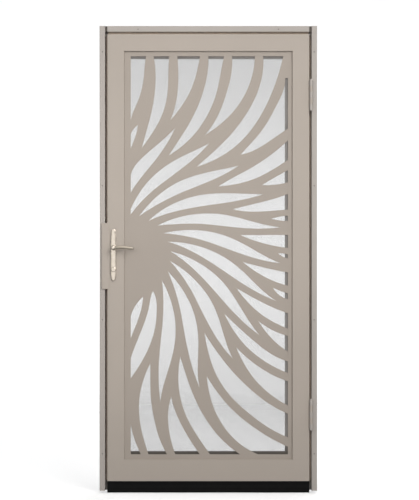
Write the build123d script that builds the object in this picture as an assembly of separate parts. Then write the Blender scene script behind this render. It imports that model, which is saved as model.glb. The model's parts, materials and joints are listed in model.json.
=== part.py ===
from build123d import *
import os

# Outswing steel security door in its surface-mounted steel frame.
#
# A welded tube leaf carries a laser-cut sunburst sheet with an insect screen
# behind it, hangs on two five-knuckle butt hinges and closes with a lever set.
# The frame is three rectangular tubes welded on a U-shaped flat flange that is
# screwed to the face of the wall.
#
# Frame of reference, millimetres: +Z up, the outside of the door faces -Y, the
# wall's face is the plane y = 0, x = 0 is the middle of the doorway and z = 0
# is the foot of the jambs. The hinges are at +X.

os.makedirs("parts", exist_ok=True)

# ---------------------------------------------------------------- dimensions
FRAME_W = 976.0  # outside width over the jambs
FRAME_H = 2085.0  # jamb length
FACE_W = 25.0  # face width of the jamb tubes
HEADER_H = 27.0  # face height of the header tube
FLANGE_W = 44.0  # width of the flat flange: the tube's face and the door stop
STOP_TOP = 2039.0  # under side of the stop across the top
FLANGE_T = 2.0
TUBE_T = 1.6  # wall of every tube
TUBE_R = 3.0  # outside corner radius of the tubes
FRAME_FRONT = -38.0  # y of the frame's front face
GAP = 10.0  # between the leaf and the frame all round

LEAF_W = FRAME_W - 2 * FACE_W - 2 * GAP  # 906
LEAF_TOP = FRAME_H - HEADER_H - GAP  # 2048
LEAF_BOTTOM = 44.0
LEAF_FRONT = -43.0
LEAF_T = 32.0
LEAF_BACK = LEAF_FRONT + LEAF_T  # -11
STILE_W = 75.0
TOP_RAIL_H = 76.0
BOTTOM_RAIL_H = 97.0

SHEET_T = 2.0  # laser-cut sheet
SHEET_FRONT = LEAF_FRONT + 10.0  # the sheet is set back behind the stiles
WIN_X0, WIN_X1 = -348, 357  # the part of the sheet that is cut out
WIN_Z0, WIN_Z1 = 163, 1949

SCREEN_X0, SCREEN_X1 = -352.0, 343.5  # sight edges of the screen's gasket
SCREEN_Z0, SCREEN_Z1 = 176.5, 1937.5

HINGE_X = 460.5
HINGE_Y = -50.5
HINGE_R = 7.0
PIN_R = 3.5
RUNNING = 0.05
HINGE_H = 136.0
HINGE_Z = (342.5, 1774.5)
HINGE_PLATE_T = 2.8

LOCK_X = -425.0  # centre line of the lock furniture
LEVER_Z = 1090.0
CYLINDER_Z = 992.5
PLATE_Z0, PLATE_Z1 = 941.0, 1174.0
GUARD_X0, GUARD_X1 = -477.5, -444.0
GUARD_Z0, GUARD_Z1 = 905.0, 1201.0

SCREW_R = 3.0
SCREW_X = 475.0
SCREW_Z = (166.0, 767.0, 1368.0, 1969.0)
HEADER_SCREW_X = 315.0
HEADER_SCREW_Z = 2070.0

half = FRAME_W / 2  # 488
inner = half - FACE_W  # 463
stop = half - FLANGE_W  # 444
leaf_x = LEAF_W / 2  # 453
open_x = leaf_x - STILE_W  # 378
open_z0 = LEAF_BOTTOM + BOTTOM_RAIL_H  # 141
open_z1 = LEAF_TOP - TOP_RAIL_H  # 1972


# ------------------------------------------------------------------- helpers
def block(x0, x1, y0, y1, z0, z1):
    return Pos((x0 + x1) / 2, (y0 + y1) / 2, (z0 + z1) / 2) * Box(
        x1 - x0, y1 - y0, z1 - z0
    )


def rod_y(x, z, r, y0, y1):
    """A round bar along Y."""
    return Pos(x, (y0 + y1) / 2, z) * Rot(90, 0, 0) * Cylinder(r, y1 - y0)


def rod_x(y, z, r, x0, x1):
    return Pos((x0 + x1) / 2, y, z) * Rot(0, 90, 0) * Cylinder(r, x1 - x0)


def rod_z(x, y, r, z0, z1):
    return Pos(x, y, (z0 + z1) / 2) * Cylinder(r, z1 - z0)


def save(shape, name):
    solids = shape.solids()
    out = solids[0] if len(solids) == 1 else Compound(children=list(solids))
    export_step(out, f"parts/{name}.step")


def rounded_block(x0, x1, y0, y1, z0, z1, axis, r):
    b = block(x0, x1, y0, y1, z0, z1)
    return fillet(b.edges().filter_by(axis), r)


# --------------------------------------------------------------------- frame
# One flat U-shaped flange, welded at its corners, lies on the wall. Its inner
# margin is the door stop, and the three tubes are welded on its outer margin.
flange = block(-half, half, -FLANGE_T, 0, 0, FRAME_H) - block(
    -stop, stop, -FLANGE_T - 1, 1, -1, STOP_TOP
)
screw_holes = [(s * SCREW_X, z) for s in (-1, 1) for z in SCREW_Z] + [
    (s * HEADER_SCREW_X, HEADER_SCREW_Z) for s in (-1, 1)
]
for x, z in screw_holes:
    flange -= rod_y(x, z, SCREW_R, -FLANGE_T - 1, 1)
save(flange, "mounting_flange")


def jamb(side):
    """A rectangular tube with open ends, drilled right through for its screws."""
    x0, x1 = (inner, half) if side > 0 else (-half, -inner)
    t = block(x0, x1, FRAME_FRONT, -FLANGE_T, 0, FRAME_H)
    t = fillet(
        t.edges().filter_by(Axis.Z).group_by(Axis.Y)[0], TUBE_R
    )
    t -= block(
        x0 + TUBE_T,
        x1 - TUBE_T,
        FRAME_FRONT + TUBE_T,
        -FLANGE_T - TUBE_T,
        -1,
        FRAME_H + 1,
    )
    for z in SCREW_Z:
        t -= rod_y(side * SCREW_X, z, SCREW_R, FRAME_FRONT - 1, 0)
    return t


STRIKE_Y0, STRIKE_Y1 = -36.0, -12.0
STRIKE_Z0, STRIKE_Z1 = 945.0, 1130.0
LATCH_Z, BOLT_Z = 1062.0, 992.5
LATCH_Y = -27.0

latch_jamb = jamb(-1) - block(
    -inner - TUBE_T, -inner + 1, STRIKE_Y0, STRIKE_Y1, STRIKE_Z0, STRIKE_Z1
)
save(latch_jamb, "latch_jamb")
save(jamb(1), "hinge_jamb")

# The header tube stands off both jambs by the same gap as the leaf, and is
# joined to them through the flange behind it.
header_x = inner - GAP
header = block(
    -header_x, header_x, FRAME_FRONT, -FLANGE_T, FRAME_H - HEADER_H, FRAME_H
)
header = fillet(header.edges().filter_by(Axis.X).group_by(Axis.Y)[0], TUBE_R)
header -= block(
    -header_x - 1,
    header_x + 1,
    FRAME_FRONT + TUBE_T,
    -FLANGE_T - TUBE_T,
    FRAME_H - HEADER_H + TUBE_T,
    FRAME_H - TUBE_T,
)
for s in (-1, 1):
    header -= rod_y(s * HEADER_SCREW_X, HEADER_SCREW_Z, SCREW_R, FRAME_FRONT - 1, 0)
save(header, "header")

# Strike plate, let in flush with the latch jamb's inner face.
strike = block(
    -inner - TUBE_T, -inner, STRIKE_Y0, STRIKE_Y1, STRIKE_Z0, STRIKE_Z1
)
strike -= block(
    -inner - 3, -inner + 1, LATCH_Y - 8, LATCH_Y + 8, LATCH_Z - 14, LATCH_Z + 14
)
strike -= block(
    -inner - 3, -inner + 1, LATCH_Y - 6, LATCH_Y + 6, BOLT_Z - 18, BOLT_Z + 18
)
for z in (STRIKE_Z0 + 9, STRIKE_Z1 - 9):
    strike -= rod_x((STRIKE_Y0 + STRIKE_Y1) / 2, z, 2.2, -inner - 3, -inner + 1)
save(strike, "strike_plate")

# Bulb weatherstrips on the stop, a millimetre short of the closed leaf.
BULB_W, BULB_H = 6.0, 8.0
bulb_x = leaf_x - 4.5


def bulb_section():
    with BuildSketch() as s:
        with BuildLine():
            Line((-BULB_W / 2, 0), (BULB_W / 2, 0))
            Line((BULB_W / 2, 0), (BULB_W / 2, -BULB_H + BULB_W / 2))
            ThreePointArc(
                (BULB_W / 2, -BULB_H + BULB_W / 2),
                (0, -BULB_H),
                (-BULB_W / 2, -BULB_H + BULB_W / 2),
            )
            Line((-BULB_W / 2, -BULB_H + BULB_W / 2), (-BULB_W / 2, 0))
        make_face()
    return s.sketch


BULB_TOP = LEAF_TOP - 4.5
for name, side in (("latch_weatherstrip", -1), ("hinge_weatherstrip", 1)):
    b = extrude(bulb_section(), BULB_TOP - BULB_W / 2 - 1 - LEAF_BOTTOM)
    save(Pos(side * bulb_x, -FLANGE_T, LEAF_BOTTOM) * b, name)
top_len = 2 * (bulb_x + BULB_W / 2)
b = extrude(bulb_section(), top_len)
b = Pos(-top_len / 2, -FLANGE_T, BULB_TOP) * Rot(0, 90, 0) * b
save(b, "header_weatherstrip")

# -------------------------------------------------------------------- hinges
KNUCKLES = 5
kn = HINGE_H / KNUCKLES
for name, zc in (("lower", HINGE_Z[0]), ("upper", HINGE_Z[1])):
    z0 = zc - HINGE_H / 2
    fixed = block(
        inner - HINGE_PLATE_T, inner, HINGE_Y + 5.5, -13.0, z0, z0 + HINGE_H
    )
    moving = block(
        leaf_x, leaf_x + HINGE_PLATE_T, HINGE_Y + 1.0, -14.0, z0, z0 + HINGE_H
    )
    # the plates are notched for the other side's knuckles
    for k in range(KNUCKLES):
        a, b_ = z0 + k * kn, z0 + (k + 1) * kn
        a_, bb = a + 0.4 * (k > 0), b_ - 0.4 * (k < KNUCKLES - 1)
        knuckle = rod_z(HINGE_X, HINGE_Y, HINGE_R, a_, bb)
        if k % 2 == 0:
            fixed += knuckle
            moving -= block(
                leaf_x - 1,
                leaf_x + HINGE_PLATE_T + 1,
                HINGE_Y - 1,
                HINGE_Y + HINGE_R + 1.5,
                a - 0.4,
                b_ + 0.4,
            )
        else:
            moving += knuckle
            fixed -= block(
                inner - HINGE_PLATE_T - 1,
                inner + 1,
                HINGE_Y - 1,
                HINGE_Y + HINGE_R + 1.5,
                a - 0.4,
                b_ + 0.4,
            )
    fixed -= rod_z(HINGE_X, HINGE_Y, PIN_R, z0 - 1, z0 + HINGE_H + 1)
    moving -= rod_z(HINGE_X, HINGE_Y, PIN_R + RUNNING, z0 - 1, z0 + HINGE_H + 1)
    save(fixed, f"{name}_hinge_jamb_plate")
    save(moving, f"{name}_hinge_leaf_plate")
    pin = rod_z(HINGE_X, HINGE_Y, PIN_R, z0 - 0.1, z0 + HINGE_H + 0.1)
    for z in (z0 - 1.6, z0 + HINGE_H + 1.6):
        tip = rod_z(HINGE_X, HINGE_Y, 5.6, z - 1.5, z + 1.5)
        tip = chamfer(
            tip.edges().group_by(Axis.Z)[0 if z < zc else -1], 0.9
        )
        pin += tip
    save(pin, f"{name}_hinge_pin")

# ---------------------------------------------------------------------- leaf
# Stiles run the full height with capped ends; the rails butt between them.


def hollow(x0, x1, z0, z1, cap_x, cap_z):
    t = block(x0, x1, LEAF_FRONT, LEAF_BACK, z0, z1)
    cx, cz = (TUBE_T if cap_x else -1), (TUBE_T if cap_z else -1)
    return t, block(
        x0 + cx,
        x1 - cx,
        LEAF_FRONT + TUBE_T,
        LEAF_BACK - TUBE_T,
        z0 + cz,
        z1 - cz,
    )


CASE_Z0, CASE_Z1 = 944.0, 1131.0
body, void = hollow(-leaf_x, -open_x, LEAF_BOTTOM, LEAF_TOP, True, True)
body = fillet(body.edges().filter_by(Axis.Z).group_by(Axis.X)[0], TUBE_R)
body = fillet(body.edges().filter_by(Axis.X).group_by(Axis.Z)[-1], TUBE_R)
latch_stile = body - void
latch_stile -= block(-leaf_x - 1, -leaf_x + TUBE_T, -37.0, -17.0, CASE_Z0, CASE_Z1)
latch_stile -= rod_y(LOCK_X, LEVER_Z, 9.0, LEAF_FRONT - 1, LEAF_BACK + 1)
latch_stile -= rod_y(LOCK_X, CYLINDER_Z, 11.0, LEAF_FRONT - 1, LEAF_BACK + 1)
save(latch_stile, "latch_stile")

body, void = hollow(open_x, leaf_x, LEAF_BOTTOM, LEAF_TOP, True, True)
body = fillet(body.edges().filter_by(Axis.Z).group_by(Axis.X)[-1], TUBE_R)
body = fillet(body.edges().filter_by(Axis.X).group_by(Axis.Z)[-1], TUBE_R)
save(body - void, "hinge_stile")

for name, z0, z1 in (
    ("top_rail", open_z1, LEAF_TOP),
    ("bottom_rail", LEAF_BOTTOM, open_z0),
):
    t = block(-open_x, open_x, LEAF_FRONT, LEAF_BACK, z0, z1)
    if z1 == LEAF_TOP:
        t = fillet(t.edges().filter_by(Axis.X).group_by(Axis.Z)[-1], TUBE_R)
    t -= block(
        -open_x - 1,
        open_x + 1,
        LEAF_FRONT + TUBE_T,
        LEAF_BACK - TUBE_T,
        z0 + TUBE_T,
        z1 - TUBE_T,
    )
    save(t, name)

# ------------------------------------------------------ laser-cut sheet
# Each opening lies between two smooth curves, given by the points (x, z) that
# they pass through. The second curve starts where the first one ends, and one
# opening ends in a short level step. What is left open between them is closed
# along the straight border of the pattern.
OPENINGS = [
    (
        [(-175.5, 1949), (-179.5, 1862), (-184.5, 1773), (-206.5, 1689), (-247.5, 1611), (-298.5, 1538)],
        [(-298.5, 1538), (-275.5, 1620), (-254.5, 1701), (-240.5, 1784), (-236.5, 1868), (-245.5, 1949)],
    ),
    (
        [(-37.5, 1949), (-53.5, 1871), (-79.5, 1796), (-119.5, 1727), (-170.5, 1662)],
        [(-170.5, 1662), (-147.5, 1731), (-136.5, 1803), (-134.5, 1876), (-138.5, 1949)],
    ),
    (
        [(-279.5, 1949), (-286.5, 1895), (-290.5, 1846), (-300.5, 1796), (-314.5, 1751), (-330.5, 1715), (-348, 1664)],
    ),
    (
        [(208.5, 1949), (196.5, 1861), (164.5, 1779), (115.5, 1705), (53.5, 1644), (-15.5, 1596)],
        [(-15.5, 1596), (27.5, 1654), (60.5, 1723), (85.5, 1797), (103.5, 1873), (106.5, 1949)],
    ),
    (
        [(336.5, 1949), (305.5, 1840), (264.5, 1739), (209.5, 1643), (138.5, 1560), (49.5, 1496), (-50.5, 1454)],
        [(-50.5, 1454), (23.5, 1521), (95.5, 1592), (157.5, 1671), (207.5, 1757), (239.5, 1851), (246.5, 1949)],
    ),
    (
        [(70.5, 1949), (53.5, 1862), (33.5, 1774), (-0.5, 1692), (-47.5, 1618), (-107.5, 1555), (-177.5, 1504)],
        [(-177.5, 1504), (-132.5, 1572), (-89.5, 1641), (-52.5, 1713), (-23.5, 1789), (-4.5, 1868), (0.5, 1949)],
    ),
    (
        [(357, 1624), (295.5, 1583), (224.5, 1537), (145.5, 1508)],
        [(145.5, 1508), (194.5, 1562), (242.5, 1619), (281.5, 1682), (315, 1746), (333, 1785), (342.5, 1818), (345, 1851)],
        [(345, 1851), (357, 1851)],
    ),
    (
        [(-348, 1599), (-338.5, 1618), (-316.5, 1641)],
        [(-316.5, 1641), (-322.5, 1605), (-333.5, 1572), (-348, 1536)],
    ),
    (
        [(-348, 1417), (-334.5, 1449), (-303.5, 1487), (-253.5, 1532), (-197.5, 1580), (-149.5, 1627)],
        [(-149.5, 1627), (-187.5, 1555), (-241.5, 1479), (-299.5, 1408), (-348, 1338)],
    ),
    (
        [(357, 1484), (289.5, 1441), (213.5, 1402), (131.5, 1377), (46.5, 1366)],
        [(46.5, 1366), (111.5, 1405), (177.5, 1440), (241.5, 1479), (301.5, 1523), (357, 1572)],
    ),
    (
        [(-348, 1264), (-314.5, 1328), (-262.5, 1396), (-199.5, 1451), (-129.5, 1494), (-55.5, 1529), (3.5, 1559)],
        [(3.5, 1559), (-46.5, 1506), (-108.5, 1454), (-174.5, 1404), (-239.5, 1354), (-300.5, 1297), (-348, 1240)],
    ),
    (
        [(-310.5, 1232), (-255.5, 1297), (-190.5, 1352), (-115.5, 1394), (-34.5, 1421), (50.5, 1440), (134.5, 1458)],
        [(134.5, 1458), (62.5, 1415), (-12.5, 1381), (-88.5, 1351), (-165.5, 1317), (-238.5, 1278), (-310.5, 1232)],
    ),
    (
        [(357, 1384), (301.5, 1373), (241.5, 1372)],
        [(241.5, 1372), (298.5, 1406), (357, 1438)],
    ),
    (
        [(-267.5, 1211), (-197.5, 1266), (-115.5, 1305), (-27.5, 1328), (63.5, 1335), (155.5, 1333), (246.5, 1330)],
        [(246.5, 1330), (159.5, 1307), (72.5, 1291), (-14.5, 1279), (-100.5, 1264), (-185.5, 1243), (-267.5, 1211)],
    ),
    (
        [(357, 1261), (275.5, 1255), (192.5, 1252), (110.5, 1263)],
        [(110.5, 1263), (193.5, 1284), (277.5, 1305), (357, 1331)],
    ),
    (
        [(322.5, 1182), (229.5, 1176), (138.5, 1180), (47.5, 1190), (-43.5, 1198), (-134.5, 1197), (-227.5, 1190)],
        [(-227.5, 1190), (-142.5, 1224), (-48.5, 1242), (46.5, 1242), (138.5, 1224), (230.5, 1199), (322.5, 1182)],
    ),
    (
        [(357, 1234), (328.5, 1231), (281.5, 1220)],
        [(281.5, 1220), (326.5, 1212), (357, 1210)],
    ),
    (
        [(-201.5, 1155), (-110.5, 1169), (-17.5, 1166), (73.5, 1145), (158.5, 1107), (239.5, 1061), (322.5, 1021)],
        [(322.5, 1021), (232.5, 1037), (146.5, 1063), (62.5, 1094), (-22.5, 1123), (-110.5, 1144), (-201.5, 1155)],
    ),
    (
        [(357, 1089), (284.5, 1101), (213.5, 1120), (145.5, 1147)],
        [(145.5, 1147), (216.5, 1147), (287.5, 1147), (357, 1147)],
    ),
    (
        [(305.5, 851), (220.5, 890), (141.5, 937), (65.5, 989), (-11.5, 1039), (-92.5, 1083), (-180.5, 1117)],
        [(-180.5, 1117), (-87.5, 1108), (4.5, 1081), (88.5, 1037), (162.5, 977), (230.5, 910), (305.5, 851)],
    ),
    (
        [(227.5, 700), (156.5, 758), (92.5, 823), (32.5, 891), (-28.5, 958), (-94.5, 1020), (-169.5, 1074)],
        [(-169.5, 1074), (-81.5, 1043), (-0.5, 995), (69.5, 931), (124.5, 855), (173.5, 775), (227.5, 700)],
    ),
    (
        [(357, 1060), (337.5, 1064), (312.5, 1065)],
        [(312.5, 1065), (335.5, 1050), (357, 1042)],
    ),
    (
        [(108.5, 595), (52.5, 662), (7.5, 735), (-32.5, 812), (-71.5, 890), (-117.5, 963), (-172.5, 1031)],
        [(-172.5, 1031), (-99.5, 982), (-34.5, 918), (16.5, 844), (50.5, 761), (76.5, 675), (108.5, 595)],
    ),
    (
        [(357, 920), (285.5, 944), (216.5, 981), (154.5, 1026)],
        [(154.5, 1026), (221.5, 1008), (288.5, 992), (357, 979)],
    ),
    (
        [(-38.5, 461), (-69.5, 546), (-92.5, 633), (-109.5, 722), (-125.5, 811), (-148.5, 898), (-181.5, 984)],
        [(-181.5, 984), (-124.5, 915), (-78.5, 833), (-51.5, 743), (-44.5, 649), (-47.5, 554), (-38.5, 461)],
    ),
    (
        [(-215.5, 398), (-222.5, 489), (-221.5, 579), (-213.5, 670), (-204.5, 760), (-201.5, 850), (-207.5, 943)],
        [(-207.5, 943), (-170.5, 859), (-149.5, 766), (-149.5, 672), (-168.5, 579), (-196.5, 489), (-215.5, 398)],
    ),
    (
        [(357, 885), (328.5, 894), (290.5, 911)],
        [(290.5, 911), (316.5, 879), (357, 859)],
    ),
    (
        [(357, 727), (290.5, 758), (227.5, 799), (172.5, 851), (127.5, 908)],
        [(127.5, 908), (201.5, 866), (278.5, 827), (357, 796)],
    ),
    (
        [(-348, 596), (-317.5, 676), (-286.5, 755), (-266.5, 822), (-258.5, 867), (-248.5, 896)],
        [(-248.5, 896), (-235.5, 863), (-231.5, 805), (-238.5, 733), (-260.5, 658), (-299.5, 578), (-348, 505)],
    ),
    (
        [(-348, 785), (-319.5, 841), (-293.5, 870)],
        [(-293.5, 870), (-299.5, 821), (-322.5, 749), (-348, 685)],
    ),
    (
        [(357, 528), (285.5, 561), (218.5, 605), (159.5, 659), (111.5, 722), (72.5, 793)],
        [(72.5, 793), (137.5, 731), (205.5, 671), (277.5, 616), (357, 580)],
    ),
    (
        [(357, 624), (306.5, 662), (262.5, 708), (224.5, 761)],
        [(224.5, 761), (288.5, 720), (357, 694)],
    ),
    (
        [(357, 239), (262.5, 288), (177.5, 351), (101.5, 423), (41.5, 509), (3.5, 609), (-17.5, 707)],
        [(-17.5, 707), (31.5, 633), (84.5, 563), (144.5, 497), (210.5, 436), (281.5, 384), (357, 345)],
    ),
    (
        [(357, 382), (281.5, 430), (216.5, 490), (164.5, 563), (125.5, 643)],
        [(125.5, 643), (176.5, 594), (232.5, 552), (294.5, 516), (357, 491)],
    ),
    (
        [(7.5, 163), (-43.5, 237), (-91.5, 319), (-123.5, 409), (-134.5, 503), (-125.5, 599)],
        [(-125.5, 599), (-99.5, 516), (-69.5, 434), (-31.5, 355), (15.5, 282), (73.5, 217), (142.5, 163)],
    ),
    (
        [(-268.5, 163), (-292.5, 241), (-308.5, 325), (-309.5, 410), (-292.5, 493), (-260.5, 570)],
        [(-260.5, 570), (-260.5, 486), (-256.5, 401), (-242.5, 318), (-220.5, 237), (-185.5, 163)],
    ),
    (
        [(222.5, 163), (148.5, 205), (85.5, 266), (37.5, 342), (7.5, 426), (-6.5, 512)],
        [(-6.5, 512), (38.5, 444), (90.5, 381), (150.5, 325), (215.5, 276), (284.5, 233), (357, 197)],
    ),
    (
        [(-148.5, 163), (-171.5, 245), (-180.5, 332), (-166.5, 420)],
        [(-166.5, 420), (-146.5, 351), (-115.5, 285), (-78.5, 222), (-38.5, 163)],
    ),
    (
        [(-348, 297), (-338.5, 253), (-323.5, 210), (-303.5, 163)],
    ),
]


def sheet_face():
    y = SHEET_FRONT

    def at(p):
        return Vector(p[0], y, p[1])

    outer = Wire.make_polygon(
        [
            at((-open_x, open_z0)),
            at((open_x, open_z0)),
            at((open_x, open_z1)),
            at((-open_x, open_z1)),
        ],
        close=True,
    )
    holes = []
    for curves in OPENINGS:
        edges = [Edge.make_spline([at(p) for p in c]) for c in curves]
        first, last = curves[0][0], curves[-1][-1]
        if first != last:
            path = [last, first]
            if first[0] != last[0] and first[1] != last[1]:
                # the two ends lie on different borders: go by their corner
                on_side = [p for p in (first, last) if p[0] in (WIN_X0, WIN_X1)][0]
                on_level = [p for p in (first, last) if p is not on_side][0]
                path = [last, (on_side[0], on_level[1]), first]
            edges += [
                Edge.make_line(at(p), at(q)) for p, q in zip(path[:-1], path[1:])
            ]
        holes.append(Wire(edges))
    return Face(outer, holes)


sheet = Solid.extrude(sheet_face(), Vector(0, SHEET_T, 0))
save(sheet, "sunburst_sheet")

# ---------------------------------------------- screen behind the sheet
BACKER_Y0, BACKER_Y1 = SHEET_FRONT + SHEET_T, LEAF_BACK - 3.0  # -31 .. -14
SPLINE_Y0, SPLINE_Y1 = -27.0, -21.0
SEAM = 0.3


def ring(out, inn, y0, y1):
    """Four bars round an opening, butted with a hairline seam: (x0, x1, z0, z1) outside and inside."""
    ox0, ox1, oz0, oz1 = out
    ix0, ix1, iz0, iz1 = inn
    bars = []
    if iz1 < oz1:
        bars.append(block(ox0, ox1, y0, y1, iz1, oz1))
    if iz0 > oz0:
        bars.append(block(ox0, ox1, y0, y1, oz0, iz0))
    if ix0 > ox0:
        bars.append(block(ox0, ix0, y0, y1, iz0 + SEAM, iz1 - SEAM))
    if ix1 < ox1:
        bars.append(block(ix1, ox1, y0, y1, iz0 + SEAM, iz1 - SEAM))
    return bars


BAR_L, BAR_R, BAR_T, BAR_B = 20.0, 17.0, 20.0, 17.0
bar_in = (-open_x + BAR_L, open_x - BAR_R, open_z0 + BAR_B, open_z1 - BAR_T)
bars = ring((-open_x, open_x, open_z0, open_z1), bar_in, BACKER_Y0, BACKER_Y1)
BAR_WALL = 1.2
for name, b in zip(
    ("screen_bar_top", "screen_bar_bottom", "screen_bar_latch", "screen_bar_hinge"),
    bars,
):
    # open-ended rectangular tube: the level bars run end to end, the upright
    # ones between them
    box = b.bounding_box()
    lo, hi = box.min, box.max
    level = hi.X - lo.X > hi.Z - lo.Z
    b -= block(
        lo.X + (-1 if level else BAR_WALL),
        hi.X - (-1 if level else BAR_WALL),
        lo.Y + BAR_WALL,
        hi.Y - BAR_WALL,
        lo.Z + (BAR_WALL if level else -1),
        hi.Z - (BAR_WALL if level else -1),
    )
    save(b, name)

spline = ring(
    bar_in, (SCREEN_X0, SCREEN_X1, SCREEN_Z0, SCREEN_Z1), SPLINE_Y0, SPLINE_Y1
)
export_step(Compound(children=list(spline)), "parts/screen_gasket.step")

# The woven screen, as a thin closed sheet held in the gasket's back.
save(
    block(
        bar_in[0], bar_in[1], SPLINE_Y1, SPLINE_Y1 + 0.8, bar_in[2], bar_in[3]
    ),
    "insect_screen",
)

# Turn buttons that hold the screen in from the room side.
CLIP_Z = (330.0, 820.0, 1300.0, 1790.0)
clips = []
for z in CLIP_Z:
    for side in (-1, 1):
        bx = (open_x - BAR_R / 2) if side > 0 else (-open_x + BAR_L / 2)
        c = rounded_block(bx - 7, bx + 7, BACKER_Y1, BACKER_Y1 + 2.5, z - 16, z + 16, Axis.Y, 5.0)
        c += rod_y(bx, z, 4.2, BACKER_Y1 + 2.5, BACKER_Y1 + 4.5)
        clips.append(c)
export_step(Compound(children=[c.solids()[0] for c in clips]), "parts/screen_clips.step")

# ------------------------------------------------------------- bottom sweep
expander = block(-leaf_x, leaf_x, LEAF_FRONT + 1.5, LEAF_BACK - 1.5, 28.0, LEAF_BOTTOM)
save(expander, "sweep_carrier")
sweep = block(-leaf_x, leaf_x, LEAF_FRONT + 0.5, LEAF_BACK - 0.5, 20.0, 28.0)
for y0, y1 in ((-42.5, -38.5), (-29.5, -25.5), (-15.5, -11.5)):
    sweep += block(-leaf_x, leaf_x, y0, y1, -8.0, 20.0)
save(sweep, "bottom_sweep")

# -------------------------------------------------------------- lock fittings
# The guard plate, welded on the leaf, covers the gap at the latch.
guard = rounded_block(
    GUARD_X0, GUARD_X1, LEAF_FRONT - 2.0, LEAF_FRONT, GUARD_Z0, GUARD_Z1, Axis.Y, 3.0
)
save(guard, "latch_guard")

face_plate = block(-leaf_x, -leaf_x + TUBE_T, -37.0, -17.0, CASE_Z0, CASE_Z1)
face_plate -= block(
    -leaf_x - 1, -leaf_x + 3, LATCH_Y - 7, LATCH_Y + 7, LATCH_Z - 12, LATCH_Z + 12
)
face_plate -= block(
    -leaf_x - 1, -leaf_x + 3, LATCH_Y - 5, LATCH_Y + 5, BOLT_Z - 16, BOLT_Z + 16
)
save(face_plate, "lock_face_plate")
latch = block(
    -leaf_x - 0.8,
    -leaf_x + 22,
    LATCH_Y - 6.6,
    LATCH_Y + 6.6,
    LATCH_Z - 11.6,
    LATCH_Z + 11.6,
)
save(latch, "latch_bolt")
save(
    block(
        -leaf_x - 0.4,
        -leaf_x + 17,
        LATCH_Y - 4.6,
        LATCH_Y + 4.6,
        BOLT_Z - 15.6,
        BOLT_Z + 15.6,
    ),
    "dead_bolt",
)


def back_plate_outline():
    """Half-width of the lock plate at a height, from its foot to its top."""
    return [
        (PLATE_Z0, 4.5),
        (PLATE_Z0 + 10, 9.5),
        (PLATE_Z0 + 30, 12.5),
        (CYLINDER_Z + 4, 13.0),
        (CYLINDER_Z + 45, 12.0),
        (LEVER_Z, 12.5),
        (LEVER_Z + 30, 11.0),
        (LEVER_Z + 65, 9.6),
        (PLATE_Z1 - 9, 8.2),
        (PLATE_Z1, 3.5),
    ]


def lock_plate(y_face, y_out):
    """A long narrow plate on the stile's face at y_face, its front at y_out."""
    pts = back_plate_outline()
    right = [Vector(LOCK_X + w, y_face, z) for z, w in pts]
    left = [Vector(LOCK_X - w, y_face, z) for z, w in reversed(pts)]
    edges = [
        Edge.make_spline(right),
        Edge.make_line(right[-1], left[0]),
        Edge.make_spline(left),
        Edge.make_line(left[-1], right[0]),
    ]
    f = Face(Wire(edges))
    p = Solid.extrude(f, Vector(0, y_out - y_face, 0))
    return p


PLATE_T = 7.0
COLLAR_T = 5.0
for name, y0, d in (
    ("outside_lock_plate", LEAF_FRONT, -1),
    ("inside_lock_plate", LEAF_BACK, 1),
):
    p = lock_plate(y0, y0 + d * PLATE_T)
    ya, yb = sorted((y0 + d * PLATE_T, y0 + d * (PLATE_T + COLLAR_T)))
    p = p + rod_y(LOCK_X, LEVER_Z, 12.0, ya, yb)
    p -= rod_y(LOCK_X, LEVER_Z, 9.0, min(y0, yb, ya) - 1, max(y0, ya, yb) + 1)
    p -= rod_y(LOCK_X, CYLINDER_Z, 10.0, min(y0, yb, ya) - 1, max(y0, ya, yb) + 1)
    save(p, name)

# Key cylinder outside, with its keyway, and the turn knob inside.
cyl = rod_y(LOCK_X, CYLINDER_Z, 10.0, LEAF_FRONT - PLATE_T - 2.5, LEAF_FRONT + 14)
cyl = chamfer(cyl.edges().group_by(Axis.Y)[0], 1.0)
cyl -= block(
    LOCK_X - 1.0,
    LOCK_X + 1.0,
    LEAF_FRONT - PLATE_T - 4,
    LEAF_FRONT - PLATE_T + 6,
    CYLINDER_Z - 5.5,
    CYLINDER_Z + 4.5,
)
save(cyl, "key_cylinder")
knob = rod_y(LOCK_X, CYLINDER_Z, 10.0, LEAF_BACK - 14, LEAF_BACK + PLATE_T + 3.0)
knob += rounded_block(
    LOCK_X - 3.2,
    LOCK_X + 3.2,
    LEAF_BACK + PLATE_T + 3.0,
    LEAF_BACK + PLATE_T + 17.0,
    CYLINDER_Z - 12,
    CYLINDER_Z + 12,
    Axis.Y,
    3.0,
)
save(knob, "turn_knob")

screws = []
for z in (PLATE_Z0 + 17, PLATE_Z1 - 20):
    s = rod_y(LOCK_X, z, 4.0, LEAF_BACK + PLATE_T, LEAF_BACK + PLATE_T + 1.8)
    s = chamfer(s.edges().group_by(Axis.Y)[-1], 0.8)
    s -= block(LOCK_X - 3.2, LOCK_X + 3.2, LEAF_BACK + PLATE_T + 0.9, LEAF_BACK + PLATE_T + 3, z - 0.5, z + 0.5)
    screws.append(s.solids()[0])
export_step(Compound(children=screws), "parts/lock_plate_screws.step")


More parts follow.
